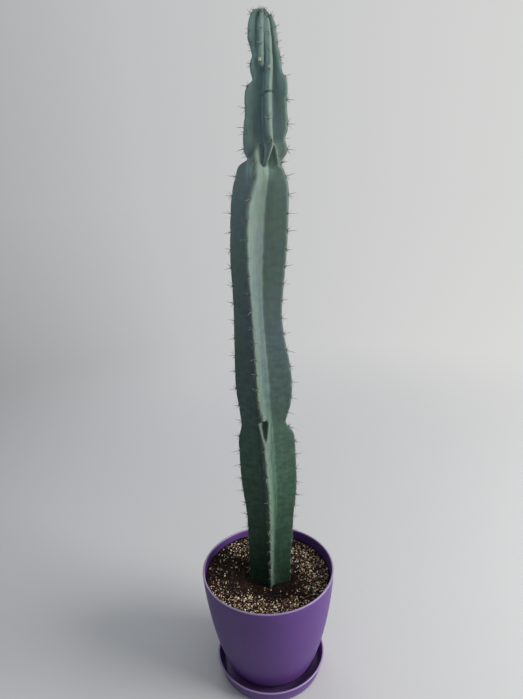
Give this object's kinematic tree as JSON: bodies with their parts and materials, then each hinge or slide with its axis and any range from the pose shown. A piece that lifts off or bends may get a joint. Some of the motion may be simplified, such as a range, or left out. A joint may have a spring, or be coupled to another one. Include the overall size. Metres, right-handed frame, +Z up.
{
  "type": "potted cereus cactus",
  "caption": "Ribbed column cactus with spines, standing in a round tapered pot of gritty soil on a round saucer.",
  "frame": {"origin": "centre of the saucer's flat underside, on the pot's axis, on the surface it stands on", "axes": "+Z up along the stem, -Y towards the side that the picture shows, +X to the right of that view"},
  "size_m": [0.1598, 0.1598, 0.7449],
  "materials": {
    "saucer_plastic": "satin",
    "pot_plastic": "satin",
    "gritty_soil": "matte",
    "cactus_skin": "satin"
  },
  "bodies": {
    "root": {"saucer": "saucer_plastic", "pot": "pot_plastic", "soil": "gritty_soil", "cactus": "cactus_skin"}
  },
  "joints": []
}
